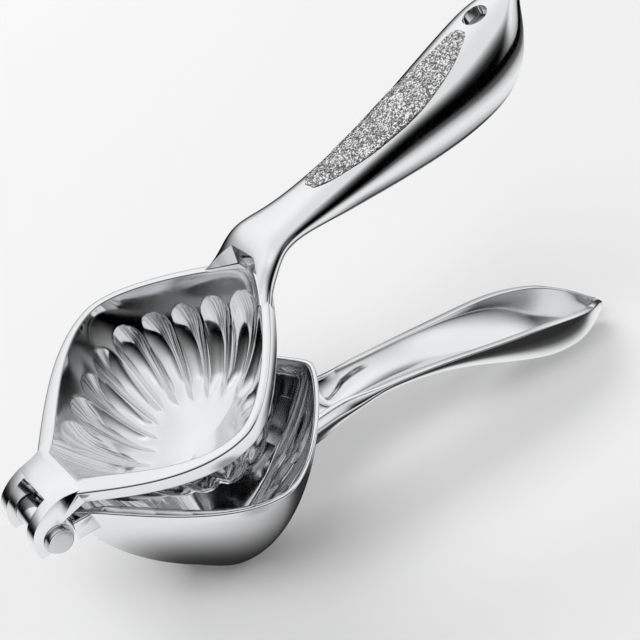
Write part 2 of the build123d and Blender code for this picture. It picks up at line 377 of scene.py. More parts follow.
def makePress():
    track, share = rimTrack(rim["outer"], press["around"] // 2)
    inner = innerSizes(press)
    outerDome = [size + press["wall"] for size in inner]
    top, low = press["top"], press["top"] - press["flange"]
    steps, tapers = evenProfile((inner[0], press["depth"]), domeTaper, press["insideRows"])
    inside = bowlRows(inner, [(t, 0, domeShift(s), top - press["depth"] * s)
                              for s, t in zip(steps[:-1], tapers[:-1])][::-1], track)
    deep = press["depth"] + press["wall"]
    outSteps, outTapers = evenProfile((outerDome[0], deep), domeTaper, press["outsideRows"])
    outsideRows = [(t, 0, domeShift(s), top - deep * s) for s, t in zip(outSteps[:-1], outTapers[:-1])]
    root = (top - low) / deep
    rootRow = (domeTaper(root), 0, domeShift(root), low)  # the flange stays flat as far as the dome's root
    outside = bowlRows(outerDome, [rootRow] + [row for row in outsideRows if row[3] < low - press["rootGap"]], track)
    inside += surfaceNormals(inside) * fluteCut(inside, share, press["fluteDepth"])[..., None] * bowlSide(inside)
    outside += surfaceNormals(outside) * fluteCut(outside, share, press["lobeDepth"])[..., None] * bowlSide(outside)
    edge = press["edge"]
    insets, drops = edgeRound(edge * press["innerEdge"], 90, 0)
    innerLip = bowlRows(inner, [(1, -i, 0, top - d) for i, d in zip(insets, drops)], track)
    upperLip = bowlRows(rim["outer"], [(1, i, 0, top - d) for i, d in zip(*edgeRound(edge, 0, 90))], track)
    lowerLip = bowlRows(rim["outer"], [(1, i, 0, low + d) for i, d in zip(*edgeRound(edge, 90, 0))], track)
    rings = np.concatenate([inside[:-1], innerLip, upperLip, lowerLip, outside])
    return ringSkin("pressShell", upperPlace(rings))


# the upper handle's section, in shares of its half width and depth; the tuck comes in where it is hollow
channel = {
    "crown": ((0, 0), (0.5, 0), (0.74, 0.05), (0.86, 0.26)),
    "side": ((0.86, 0.26), (0.95, 0.42), (1, 0.6), (0.985, 1)),
    "tuck": ((0, 0), (0, 0), (0.02, 0.12), (-0.075, 0)),
    "lipMost": 0.45, "lipFlat": 0.8, "roofBend": 0.75, "steps": 25, "lipSteps": 9,
}


def crownLine(halfWidth, top, depth, t):
    return bezier(*((halfWidth * x, top - depth * z) for x, z in channel["crown"]), t)


def channelSection(halfWidth, top, depth, belly, hollow):
    # half of an upside-down channel: crown, leaning shoulder, upright side, rounded lip, inner side and roof
    t = np.linspace(0, 1, channel["steps"])
    crown = crownLine(halfWidth, top, depth, t)
    bends = [(halfWidth * (x + across * hollow), top - depth * (z + down * hollow))
             for (x, z), (across, down) in zip(channel["side"], channel["tuck"])]
    side = bezier(*bends, t[1::2])
    outX, edge = bends[-1]
    roof = (top - grip["wall"]) * hollow + (edge - belly) * (1 - hollow)
    lipWide = min(grip["wall"], halfWidth * channel["lipMost"])
    lip = np.linspace(0, math.pi, channel["lipSteps"])[1:-1]
    lipX = outX - lipWide / 2 + lipWide / 2 * np.cos(lip)
    lipZ = edge - lipWide / 2 * np.sin(lip) * channel["lipFlat"]
    inX, bend = outX - lipWide, channel["roofBend"]
    inner = bezier((inX, edge), (inX, edge + (roof - edge) * bend), (inX * bend, roof), (0, roof), t[::2])
    return np.vstack([crown, side, np.column_stack([lipX, lipZ]), inner])


def troughSection(halfWidth, top, depth, hollow, roll):
    # half of a trough: belly, side, lip that rolls over by its roll radius, inner side and floor
    t = np.linspace(0, 1, trough["steps"])
    run, out, wall = trough["bellyRun"], trough["sideOut"], trough["wall"]
    bend = min(trough["lipBend"], halfWidth * trough["bendMost"])
    roll = min(roll, halfWidth * trough["rollMost"])
    lipWide = min(max(wall, roll + bend), halfWidth * trough["lipMost"])
    outer = bezier((0, top - depth), (halfWidth * run, top - depth),
                   (halfWidth * out, top - depth * trough["outerDrop"]), (halfWidth, top - roll), t)
    turn = np.linspace(0, math.pi / 2, trough["lipSteps"])
    near = np.column_stack([halfWidth - roll + roll * np.cos(turn[1:]), top - roll + roll * np.sin(turn[1:])])
    inX = halfWidth - lipWide
    far = np.column_stack([inX + bend - bend * np.sin(turn[:-1]), top - bend + bend * np.cos(turn[:-1])])
    floor = top - bend - max(depth - wall, 0) * hollow
    inner = bezier((inX, top - bend), (inX * out, top - (top - floor) * trough["innerDrop"]), (inX * run, floor),
                   (0, floor), t[::2])
    return np.vstack([outer, near, far, inner])


def wholeLoop(half):
    other = half[-2:0:-1] * np.array([-1, 1])
    return np.vstack([half, other])


def handleRows(handle, reach, keys):
    # the values along a handle, and then how far it is hollowed
    rows = [curve(handle["reach"], handle[key], reach, handle["soften"]) for key in keys]
    return *rows, smoothStep(*handle["hollowStart"], reach) * (1 - smoothStep(*handle["hollowEnd"], reach))


def handleSkin(name, reach, halves, place):
    # skin over half sections set out along a handle
    loops = [wholeLoop(half) for half in halves]
    rings = [np.column_stack([np.full(len(loop), x), loop]) for x, loop in zip(reach, loops)]
    return ringSkin(name, place(np.array(rings)))


# upper handle: widths, crown heights and depths at stations along it, from the middle of the press
grip = {
    "top": 45.4, "wall": 2.6,
    "reach": (27.3, 29.3, 31.4, 35.5, 40.0, 45.0, 61.4, 77.8, 94.2, 107.8, 120.1, 129.7, 136.5),
    "width": (16.2, 13.7, 12.4, 11.8, 10.5, 9.1, 8.4, 9.2, 11.2, 12.5, 11.7, 8.3, 2.0),
    "crown": (0.8, 2.6, 4.0, 6.1, 7.5, 6.9, 4.6, 3.5, 3.4, 3.8, 4.8, 5.0, 4.3),
    "depth": (4.2, 4.4, 4.5, 4.3, 3.8, 3.8, 7.7, 12.0, 15.4, 17.0, 16.6, 10.4, 2.7),
    "belly": (0, 0, 0, 2.0, 4.0, 4.0, 4.0, 4.0, 4.0, 4.0, 4.0, 3.0, 0.8),
    "hollowStart": (52.0, 70.0), "hollowEnd": (128.0, 135.0), "soften": 3.0, "stations": 120,
    "holeReach": 123.5, "holeRadius": 3.6, "holeCut": (20, 70),
    "notch": ((0, 14.3), (26.8, 14.3), (33.4, 5.2), (33.4, -5.2), (26.8, -14.3), (0, -14.3)),
    "notchHigh": 20, "notchLean": 6.0, "openingLow": 4.0, "openingAround": 160,
}


def gripRow(reach):
    width, crown, depth, belly, hollow = handleRows(grip, reach, ("width", "crown", "depth", "belly"))
    return width, grip["top"] + crown, depth, belly, hollow


def makeGrip():
    reach = np.linspace(grip["reach"][0], grip["reach"][-1], grip["stations"])
    halves = [channelSection(*row) for row in zip(*gripRow(reach))]
    return handleSkin("gripShell", reach, halves, upperPlace)


def prism(name, outline, low, high, place, lean=0.0):
    # upright block over an outline; lean shifts its top along x
    base = np.array([(x, y, low) for x, y in outline])
    roof = np.array([(x + lean, y, high) for x, y in outline])
    return ringSkin(name, place(np.array([base, roof])))


def pressOpening(margin):
    track, _ = rimTrack(rim["outer"], grip["openingAround"])
    loop = rimLoop(innerSizes(press, margin), track)
    return prism("openingCut", loop, grip["top"] - grip["openingLow"], grip["top"] + grip["notchHigh"], upperPlace)


def rootCut():
    # the three leaning facets behind the press, and the press's own opening
    low, high = grip["top"], grip["top"] + grip["notchHigh"]
    cut = prism("notchCut", grip["notch"], low, high, upperPlace, grip["notchLean"])
    return combine(cut, pressOpening(0.0), "UNION")


# lower handle, from the middle of the bowl
trough = {
    "wall": 2.3,
    "reach": (15.0, 24.1, 31.2, 38.2, 46.7, 60.9, 76.5, 93.5, 107.6, 118.9, 128.9, 136.6, 139.5, 141.6),
    "width": (16.5, 14.0, 12.0, 10.4, 9.7, 10.1, 11.4, 13.1, 13.9, 13.4, 10.8, 5.6, 3.3, 1.2),
    "rise": (32.2, 31.6, 30.7, 29.8, 28.5, 27.0, 25.1, 22.6, 20.5, 17.8, 14.5, 10.6, 8.6, 6.7),
    "depth": (13.0, 12.0, 10.7, 8.3, 5.8, 5.3, 7.4, 12.1, 16.4, 17.3, 14.3, 9.2, 6.4, 3.8),
    "hollowStart": (33.5, 40.5), "hollowEnd": (138.2, 140.6), "soften": 2.4, "stations": 150,
    "lipBend": 0.5, "rootRoll": 3.2, "rollEnd": (38.0, 56.0), "steps": 30, "lipSteps": 8,
    # shares of the half width, then of the depth
    "bendMost": 0.2, "rollMost": 0.35, "lipMost": 0.96, "bellyRun": 0.55, "sideOut": 0.95,
    "outerDrop": 0.65, "innerDrop": 0.35,
}


def makeTrough():
    reach = np.linspace(trough["reach"][0], trough["reach"][-1], trough["stations"])
    rows = handleRows(trough, reach, ("width", "rise", "depth"))
    roll = trough["rootRoll"] + (trough["lipBend"] - trough["rootRoll"]) * smoothStep(*trough["rollEnd"], reach)
    halves = [troughSection(*row) for row in zip(*rows, roll)]
    return handleSkin("troughShell", reach, halves, lowerPlace)


# hinge: arms on the upper lever, block and knuckle on the lower one
knuckle = {
    "armOuter": 10.0, "armInner": 6.0, "gap": 0.4, "armRadius": 6.2, "eyeRadius": 3.1, "tailDrop": 0.9,
    "bend": 5.0, "top": 8.2, "thick": 4.7, "reach": 15.0, "window": 4.5, "hook": 0.6, "radius": 4.2,
    "blockFrom": 4.3, "blockTo": 13.0, "blockLow": -3.6, "blockHigh": 1.9, "edge": 0.5,
    "plateEnd": 6.75, "plateFlare": 2.4, "plateLead": 2, "windowReach": 30, "pressGap": 0.3,
    "windowEdge": 0.3, "tongueEdge": 0.2, "barrelEdge": 0.3, "edgeSteps": 3, "flatAngle": 1, "sharpAngle": 30,
}


def slab(name, outline, halfWidth, swing, edge):
    # flat shape beside the hinge, given its width and softened edges
    halves = np.broadcast_to(halfWidth, len(outline))
    near = np.array([(x, -half, z) for (x, z), half in zip(outline, halves)])
    far = np.array([(x, half, z) for (x, z), half in zip(outline, halves)])
    piece = ringSkin(name, hingePlace(np.array([near, far]), swing))
    mesh = bmesh.new()
    mesh.from_mesh(piece.data)
    flat, steep = math.radians(knuckle["flatAngle"]), math.radians(knuckle["sharpAngle"])
    bmesh.ops.dissolve_limit(mesh, angle_limit=flat, verts=mesh.verts, edges=mesh.edges)
    sharp = [e for e in mesh.edges if e.calc_face_angle(0) > steep]
    bmesh.ops.bevel(mesh, geom=sharp, offset=edge * mm, segments=knuckle["edgeSteps"], profile=0.5,
                    affect="EDGES", clamp_overlap=True)
    mesh.to_mesh(piece.data)
    mesh.free()
    return piece


def arcPoints(radius, start, end, count):
    angles = np.radians(np.linspace(start, end, count))
    return [(radius * math.cos(a), radius * math.sin(a)) for a in angles]


def makeBracket():
    k = knuckle
    hook = bezier((k["bend"], k["top"]), (-k["armRadius"] * (1 - k["hook"]), k["top"]),
                  (-k["armRadius"], k["top"] * k["hook"]), (-k["armRadius"], -k["tailDrop"]), np.linspace(0, 1, 22))
    lead, far, swing = k["plateLead"], k["windowReach"], hinge["openAngle"]
    steps = np.linspace(k["bend"] + lead, k["reach"], 7)[::-1]
    slope = k["top"] - (k["top"] - k["plateEnd"]) * smoothStep(k["bend"], k["reach"] - lead, steps)
    outline = list(zip(steps, slope)) + [tuple(p) for p in hook] + arcPoints(k["eyeRadius"], 225, 360, 16)
    outline += [(k["bend"], k["top"] - k["thick"])] + [(x, k["top"] - k["thick"]) for x in steps[::-1]]
    wide = [k["armOuter"] + k["plateFlare"] * smoothStep(k["bend"] + lead, k["reach"], x) for x, _ in outline]
    arms = slab("bracketArms", outline, wide, swing, k["edge"])
    hole = [(-far, -far), (k["window"], -far), (k["window"], far), (-far, far)]
    combine(arms, slab("bracketWindow", hole, k["armInner"], swing, k["windowEdge"]), "DIFFERENCE")
    return combine(arms, pressOpening(k["pressGap"]), "DIFFERENCE")


def makeKnuckle():
    k = knuckle
    high, low = k["blockHigh"], k["blockLow"]
    block = [(k["blockFrom"], high), (k["blockTo"], high), (k["blockTo"], low), (k["blockFrom"], low)]
    lug = slab("hingeBlock", block, k["armOuter"], 0.0, k["edge"])
    tongue = slab("hingeTongue", [(0, high), (k["blockTo"], high), (k["blockTo"], low), (0, low)],
                  k["armInner"] - k["gap"], 0.0, k["tongueEdge"])
    ring = arcPoints(k["radius"], 0, 352.5, 48)
    barrel = slab("hingeBarrel", ring, k["armInner"] - k["gap"], 0.0, k["barrelEdge"])
    return combine(combine(lug, tongue, "UNION"), barrel, "UNION")


pin = {"radius": 2.2, "bore": 2.25, "head": 3.3, "headHeight": 1.3, "tail": 2.9, "tailHeight": 1.0,
       "washer": 3.9, "washerHeight": 0.5, "washerEdge": 0.12, "edge": 0.35,
       "headMiddle": 0.4, "headFlat": 0.55, "tailMiddle": 0.3, "tailFlat": 0.5, "boreReach": 30}


def turned(profile, count=72):
    # profile of (radius, y) turned round the hinge line, as rings
    angles = np.linspace(0, 2 * math.pi, count, endpoint=False)
    rings = [[(radius * math.cos(a), y, radius * math.sin(a)) for a in angles] for radius, y in profile]
    return hingePlace(np.array(rings), hinge["openAngle"])


def makePin():
    p, e = pin, pin["edge"]
    near = -(knuckle["armOuter"] + p["washerHeight"])
    headEnd = near - p["headHeight"]
    far = knuckle["armOuter"]
    farEnd = far + p["tailHeight"]
    dome = [(p["head"] - e + e * math.sin(a), headEnd + e - e * math.cos(a)) for a in np.linspace(0, math.pi / 2, 6)]
    tail = [(p["tail"] - e + e * math.cos(a), farEnd - e + e * math.sin(a)) for a in np.linspace(0, math.pi / 2, 6)]
    profile = [(p["headMiddle"], headEnd), (p["head"] * p["headFlat"], headEnd)] + dome
    profile += [(p["head"], near), (p["radius"], near), (p["radius"], far), (p["tail"], far)]
    profile += tail + [(p["tail"] * p["tailFlat"], farEnd), (p["tailMiddle"], farEnd)]
    return ringSkin("pinPiece", turned(profile))


def makeWasher():
    p, e = pin, pin["washerEdge"]
    a, b = -knuckle["armOuter"], -(knuckle["armOuter"] + p["washerHeight"])
    profile = [(p["bore"], a), (p["washer"] - e, a), (p["washer"], a - e), (p["washer"], b + e),
               (p["washer"] - e, b), (p["bore"], b), (p["bore"], a)]
    rings = turned(profile)
    return newPiece("washerPiece", rings.reshape(-1, 3), ringFaces(*rings.shape[:2]))


def rod(name, radius, start, end, place, count=48):
    # straight round cutter between two points
    start, end = np.array(start, float), np.array(end, float)
    axis = (end - start) / np.linalg.norm(end - start)
    side = np.cross(axis, (0.3, 0.9, 0.2))
    side /= np.linalg.norm(side)
    other = np.cross(axis, side)
    angles = np.linspace(0, 2 * math.pi, count, endpoint=False)[:, None]
    ring = radius * (np.cos(angles) * side + np.sin(angles) * other)
    return ringSkin(name, place(np.array([start + ring, end + ring])))


def pinBore(swing):
    far = pin["boreReach"]
    return rod("pinBore", pin["bore"], (0, -far, 0), (0, far, 0), lambda points: hingePlace(points, swing))


def wire(tree, *rows):
    # each row links a node's output to another node's input
    for start, output, end, entry in rows:
        tree.links.new(start.outputs[output], end.inputs[entry])


def geometryGroup(name, sockets):
    # a node group that gives geometry, and the identifiers of its inputs
    tree = bpy.data.node_groups.new(name, "GeometryNodeTree")
    tree.interface.new_socket("Geometry", in_out="OUTPUT", socket_type="NodeSocketGeometry")
    names = {}
    for label, kind in sockets:
        names[label] = tree.interface.new_socket(label, in_out="INPUT", socket_type="NodeSocket" + kind).identifier
    return tree, names


def runGroup(piece, tree, names, values):
    step = piece.modifiers.new(tree.name, "NODES")
    step.node_group = tree
    for label, value in values.items():
        step[names[label]] = value
    return applied(piece)


def juiceHoles():
    # one round cutter set out on a ring with Geometry Nodes
    tree, names = geometryGroup("juiceHoleRing", (("Hole Count", "Int"), ("Ring Radius", "Float"),
                                                  ("Hole Radius", "Float"), ("Cut Depth", "Float"),
                                                  ("Material", "Material")))
    put = tree.nodes.new
    given, out = put("NodeGroupInput"), put("NodeGroupOutput")
    ring, hole = put("GeometryNodeMeshCircle"), put("GeometryNodeMeshCylinder")
    copies, real = put("GeometryNodeInstanceOnPoints"), put("GeometryNodeRealizeInstances")
    paint = put("GeometryNodeSetMaterial")
    hole.inputs["Vertices"].default_value = bowl["holeSides"]
    wire(tree, (given, "Hole Count", ring, "Vertices"), (given, "Ring Radius", ring, "Radius"),
         (given, "Hole Radius", hole, "Radius"), (given, "Cut Depth", hole, "Depth"),
         (ring, "Mesh", copies, "Points"), (hole, "Mesh", copies, "Instance"),
         (copies, "Instances", real, "Geometry"), (real, "Geometry", paint, "Geometry"),
         (given, "Material", paint, "Material"), (paint, "Geometry", out, "Geometry"))
    cutter = addObject("juiceHoles", bpy.data.meshes.new("juiceHoles"))
    return runGroup(cutter, tree, names, {
        "Hole Count": bowl["holeCount"], "Ring Radius": bowl["holeRing"] * mm,
        "Hole Radius": bowl["holeRadius"] * mm, "Cut Depth": bowl["holeCut"] * mm,
    })


# materials: the polish that all the metals share, and what sets each one apart
polish = {"waveScale": 60, "waveDetail": 2, "hazeDetail": 4, "hazeRange": (0.12, 0.42), "bumpStrength": 0.3}
metals = {
    "castChrome": {"colour": (0.80, 0.805, 0.815), "smooth": 0.06, "hazy": 0.13, "bumpDepth": 0.004, "haze": 900},
    "grainChrome": {"colour": (0.74, 0.745, 0.755), "smooth": 0.14, "hazy": 0.26, "bumpDepth": 0.02, "haze": 2400},
    "pinSteel": {"colour": (0.62, 0.63, 0.65), "smooth": 0.10, "hazy": 0.24, "bumpDepth": 0.01, "haze": 3000},
}


def toneRamp(tree, stops):
    ramp = tree.nodes.new("ShaderNodeValToRGB")
    marks = ramp.color_ramp.elements
    while len(marks) < len(stops):
        marks.new(0.5)
    for mark, (at, tone) in zip(marks, stops):
        mark.position = at
        mark.color = (tone, tone, tone, 1)
    return ramp


def castPolishGroup():
    # slow waves and fine haze that a hand-polished casting keeps
    group = bpy.data.node_groups.new("castPolish", "ShaderNodeTree")
    for name in ("Wave Scale", "Haze Scale", "Smooth", "Hazy"):
        group.interface.new_socket(name, in_out="INPUT", socket_type="NodeSocketFloat")
    for name in ("Roughness", "Height"):
        group.interface.new_socket(name, in_out="OUTPUT", socket_type="NodeSocketFloat")
    put = group.nodes.new
    given, out, place = put("NodeGroupInput"), put("NodeGroupOutput"), put("ShaderNodeTexCoord")
    wave, haze = put("ShaderNodeTexNoise"), put("ShaderNodeTexNoise")
    for noise, scale, detail in ((wave, "Wave Scale", "waveDetail"), (haze, "Haze Scale", "hazeDetail")):
        noise.inputs["Detail"].default_value = polish[detail]
        wire(group, (place, "Object", noise, "Vector"), (given, scale, noise, "Scale"))
    both, rough = put("ShaderNodeMath"), put("ShaderNodeMapRange")
    both.operation = "MULTIPLY"
    rough.inputs["From Min"].default_value, rough.inputs["From Max"].default_value = polish["hazeRange"]
    wire(group, (wave, "Fac", both, 0), (haze, "Fac", both, 1), (both, 0, rough, "Value"),
         (given, "Smooth", rough, "To Min"), (given, "Hazy", rough, "To Max"),
         (rough, "Result", out, "Roughness"), (haze, "Fac", out, "Height"))
    return group


castPolish = castPolishGroup()


def metal(name, colour, smooth, hazy, bumpDepth, haze):
    made = bpy.data.materials.new(name)
    made.use_nodes = True
    tree = made.node_tree
    skin = tree.nodes["Principled BSDF"]
    skin.inputs["Base Color"].default_value = (*colour, 1)
    skin.inputs["Metallic"].default_value = 1.0
    buffed, bump = tree.nodes.new("ShaderNodeGroup"), tree.nodes.new("ShaderNodeBump")
    buffed.node_tree = castPolish
    given = {"Wave Scale": polish["waveScale"], "Haze Scale": haze, "Smooth": smooth, "Hazy": hazy}
    for socket, value in given.items():
        buffed.inputs[socket].default_value = value
    bump.inputs["Strength"].default_value = polish["bumpStrength"]
    bump.inputs["Distance"].default_value = bumpDepth * mm
    wire(tree, (buffed, "Roughness", skin, "Roughness"), (buffed, "Height", bump, "Height"),
         (bump, "Normal", skin, "Normal"))
    return made


castChrome, grainChrome, pinSteel = (metal(name, **given) for name, given in metals.items())


# levers
lowerLever = makeBowl()
print("bowl", len(lowerLever.data.polygons))
combine(lowerLever, combine(makeTrough(), bowlRoom(), "DIFFERENCE"), "UNION")
combine(lowerLever, combine(makeKnuckle(), bowlRoom(), "DIFFERENCE"), "UNION")
combine(lowerLever, juiceHoles(), "DIFFERENCE")
combine(lowerLever, pinBore(0.0), "DIFFERENCE")
lowerLever.name = "lowerLever"
print("lower lever", len(lowerLever.data.polygons))

upperLever = makePress()
print("press", len(upperLever.data.polygons))
handle = combine(makeGrip(), rootCut(), "DIFFERENCE")
combine(upperLever, handle, "UNION")
combine(upperLever, makeBracket(), "UNION")
holeLow, holeHigh = ((grip["holeReach"], 0, z) for z in grip["holeCut"])
combine(upperLever, rod("hangCut", grip["holeRadius"], holeLow, holeHigh, upperPlace), "DIFFERENCE")
combine(upperLever, pinBore(hinge["openAngle"]), "DIFFERENCE")
upperLever.name = "upperLever"
print("upper lever", len(upperLever.data.polygons))

hingePin, pinWasher = makePin(), makeWasher()

# textured patch on the upper handle's crown: its near and far edges, as reach and y
patch = {
    "near": ((58.0, 0.0), (59.8, 1.9), (63.2, 4.1), (67.5, 5.3), (72.0, 6.2), (81.9, 7.4), (92.4, 8.2), (101.2, 7.7),
             (106.1, 6.9), (110.8, 5.6), (114.8, 3.8), (117.4, 2.1), (119.0, 0.0)),
    "far": ((58.0, 0.0), (59.7, 2.6), (66.7, 5.4), (74.5, 6.6), (83.0, 7.4), (91.0, 7.4), (97.0, 6.6), (104.4, 4.8),
            (112.8, 3.4), (117.5, 1.6), (119.0, 0.0)),
    "steps": (280, 80), "sink": 0.3, "proud": 0.25, "thick": 1.2, "border": 0.07, "endGap": 0.15, "endRise": 18,
    "swell": 0.6, "grain": 0.85, "height": 0.18, "furrow": 0.11, "detail": 1.5, "wander": 0.8, "seed": 4.0,
    "smoothAngle": 80,
    # painted shade in the furrows: base colour tones from furrow to flat
    "furrowShadeTone": ((0.0, 0.08), (0.3, 0.2), (0.7, 0.6), (1.0, 0.82)),
}


def crinkle(tree, where, output):
    # short wandering furrows, as the noise and the result: 0 in a furrow, 1 on the flats
    put = tree.nodes.new
    noise, rise = put("ShaderNodeTexNoise"), put("ShaderNodeMapRange")
    centre, fold = put("ShaderNodeMath"), put("ShaderNodeMath")
    noise.noise_dimensions = "4D"
    noise.inputs["Detail"].default_value = patch["detail"]
    noise.inputs["Distortion"].default_value = patch["wander"]
    centre.operation, fold.operation = "SUBTRACT", "ABSOLUTE"
    centre.inputs[1].default_value = 0.5
    rise.interpolation_type = "SMOOTHSTEP"
    rise.inputs["From Max"].default_value = patch["furrow"]
    wire(tree, (where, output, noise, "Vector"), (noise, "Fac", centre, 0), (centre, 0, fold, 0),
         (fold, 0, rise, "Value"))
    return noise, rise


def paintFurrowShade(look):
    # painted shade: the furrows' base colour is darker than the flats between them
    tree = look.node_tree
    noise, rise = crinkle(tree, tree.nodes.new("ShaderNodeTexCoord"), "Object")
    noise.inputs["Scale"].default_value = 1 / (patch["grain"] * mm)
    noise.inputs["W"].default_value = patch["seed"]
    tone = toneRamp(tree, patch["furrowShadeTone"])
    wire(tree, (rise, "Result", tone, "Fac"), (tone, "Color", tree.nodes["Principled BSDF"], "Base Color"))


paintFurrowShade(grainChrome)


def crownHeight(reach, y):
    # height of the handle's crown at each reach and y
    heights = np.zeros(y.shape)
    for row, (width, top, depth) in enumerate(zip(*gripRow(reach)[:3])):
        line = crownLine(width, top, depth, np.linspace(0, 1, 200))
        heights[row] = np.interp(np.abs(y[row]), line[:, 0], line[:, 1])
    return heights


def grainTree():
    tree, names = geometryGroup("castGrain", (("Geometry", "Geometry"), ("Grain Size", "Float"),
                                              ("Grain Height", "Float"), ("Seed", "Float"),
                                              ("Material", "Material")))
    put = tree.nodes.new
    given, out = put("NodeGroupInput"), put("NodeGroupOutput")
    normal, fade = put("GeometryNodeInputNormal"), put("GeometryNodeInputNamedAttribute")
    fade.data_type = "FLOAT"
    fade.inputs["Name"].default_value = "grainFade"
    fine = put("ShaderNodeMath")
    fine.operation = "DIVIDE"
    fine.inputs[0].default_value = 1.0
    noise, rise = crinkle(tree, put("GeometryNodeInputPosition"), "Position")
    lift, scale = put("ShaderNodeMath"), put("ShaderNodeMath")
    lift.operation = scale.operation = "MULTIPLY"
    push, move = put("ShaderNodeVectorMath"), put("GeometryNodeSetPosition")
    push.operation = "SCALE"
    real, paint = put("GeometryNodeRealizeInstances"), put("GeometryNodeSetMaterial")
    wire(tree, (given, "Grain Size", fine, 1), (fine, 0, noise, "Scale"), (given, "Seed", noise, "W"),
         (rise, "Result", lift, 0), (fade, "Attribute", lift, 1), (lift, 0, scale, 0),
         (given, "Grain Height", scale, 1), (normal, "Normal", push, 0), (scale, 0, push, "Scale"),
         (given, "Geometry", move, "Geometry"), (push, "Vector", move, "Offset"),
         (move, "Geometry", real, "Geometry"), (real, "Geometry", paint, "Geometry"),
         (given, "Material", paint, "Material"), (paint, "Geometry", out, "Geometry"))
    return tree, names


def makePatch():
    rows, columns = patch["steps"]
    gap = patch["endGap"]
    reach = np.linspace(patch["near"][0][0] + gap, patch["near"][-1][0] - gap, rows)
    near = -curve(*zip(*patch["near"]), reach)
    far = curve(*zip(*patch["far"]), reach)
    share = np.linspace(0, 1, columns)
    y = near[:, None] + (far - near)[:, None] * share[None]
    # the border sinks into the crown, the middle stands just proud of it
    along = np.linspace(0, 1, rows)
    inward = np.minimum(np.minimum(share, 1 - share)[None] / patch["border"],
                        np.minimum(along, 1 - along)[:, None] * patch["endRise"])
    fade = smoothStep(0.0, 1.0, inward)
    sink, proud = patch["sink"], patch["proud"]
    top = crownHeight(reach, y) - sink + (sink + proud) * smoothStep(0, patch["swell"], inward)
    upper = np.stack([np.repeat(reach[:, None], columns, 1), y, top], -1)
    lower = upper - np.array([0, 0, patch["thick"]])
    points = upperPlace(np.concatenate([upper.reshape(-1, 3), lower.reshape(-1, 3)]))
    total = rows * columns
    faces = []
    for i in range(rows - 1):
        for j in range(columns - 1):
            a, b, c, d = i * columns + j, (i + 1) * columns + j, (i + 1) * columns + j + 1, i * columns + j + 1
            faces.append((a, b, c, d))
            faces.append((a + total, d + total, c + total, b + total))
    edge = [i * columns for i in range(rows)] + [(rows - 1) * columns + j for j in range(1, columns)]
    edge += [i * columns + columns - 1 for i in range(rows - 2, -1, -1)] + list(range(columns - 2, 0, -1))
    for a, b in zip(edge, edge[1:] + edge[:1]):
        faces.append((b, a, a + total, b + total))
    mesh = bpy.data.meshes.new("gripGrain")
    mesh.from_pydata([tuple(p) for p in points], [], faces)
    mesh.attributes.new("grainFade", "FLOAT", "POINT").data.foreach_set(
        "value", np.concatenate([fade.ravel(), np.zeros(total)]).astype(np.float32))
    return runGroup(addObject("gripGrain", mesh), *grainTree(), {
        "Grain Size": patch["grain"] * mm, "Grain Height": patch["height"] * mm,
        "Seed": patch["seed"], "Material": grainChrome,
    })


gripGrain = makePatch()
shadeSmooth(gripGrain, patch["smoothAngle"])
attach(gripGrain, "upper")
print("grip grain", len(gripGrain.data.polygons))

pieces = (
    (lowerLever, "lower", "lower_lever", "cast_chrome", castChrome),
    (upperLever, "upper", "upper_lever", "cast_chrome", castChrome),
    (hingePin, "upper", "hinge_pin", "pin_steel", pinSteel),
    (pinWasher, "upper", "pin_washer", "pin_steel", pinSteel),
)
for piece, body, node, slot, look in pieces:
    piece.data.materials.clear()
    piece.data.materials.append(look)
    shadeSmooth(piece)
    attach(piece, body)
    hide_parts(node)
print("pieces placed")

# studio: pale floor, soft lights, and a glowing tent and sheet that only the metal sees, as painted reflections
studio = {
    "floor": 0.86, "floorRough": 0.9, "floorRadius": 6.0, "world": 0.4, "domeRadius": 1.3, "domeSteps": (64, 16),
    "domeTop": 1.5, "cardHeight": 0.0006, "aim": (0, 0, 0.05),
    "softBoxes": (("keyBox", (-0.9, -0.5, 1.5), 1.1, 1.1, 15), ("backBox", (0.2, 1.2, 1.1), 1.4, 0.8, 11),
                  ("fillBox", (1.3, -0.7, 0.9), 0.9, 0.9, 4)),  # name, place, width, height, watts
    "backSpan": (-0.25, 0.45), "sideSpan": (0.6, 0.85),  # where the back and the side take over, in tent radii
    "frontTone": ((0.0, 0.0), (0.14, 0.0), (0.26, 0.03), (0.36, 0.1), (0.48, 0.24), (0.62, 0.5), (0.8, 0.9),
                  (1.0, 0.9)),
    "backTone": ((0.0, 0.0), (0.08, 0.01), (0.2, 0.06), (0.36, 0.42), (0.52, 0.95), (0.7, 1.05), (1.0, 0.9)),
    "sideTone": ((0.0, 0.35), (0.1, 0.7), (0.3, 1.0), (0.6, 1.0), (1.0, 0.9)),
    "cardTone": ((0.0, 0.95), (0.018, 0.85), (0.03, 0.1), (0.042, 0.03), (0.075, 0.04), (0.1, 0.13), (0.15, 0.5),
                 (0.21, 0.9), (0.3, 1.0), (0.42, 0.7), (0.6, 0.12), (1.0, 0.0)),
    "cardReach": 0.5, "cardMiddle": 0.1, "cardRun": 0.042,
    # painted shade on the sheet, soft dark places: x, y, inner and outer radius, tone
    "cardPaintedShade": ((0.0, 0.0, 0.012, 0.042, 0.08), (-0.016, -0.072, 0.006, 0.024, 0.4)),
}
paper = bpy.data.materials.new("floorPaper")
paper.use_nodes = True
floorLook = {"Base Color": (*[studio["floor"]] * 3, 1), "Roughness": studio["floorRough"], "Specular IOR Level": 0.0}
for socket, value in floorLook.items():
    paper.node_tree.nodes["Principled BSDF"].inputs[socket].default_value = value
size = studio["floorRadius"]
corners = [(-size, -size, 0), (size, -size, 0), (size, size, 0), (-size, size, 0)]
floorPiece = newPiece("floor", corners, [(0, 1, 2, 3)])
floorPiece.data.materials.append(paper)


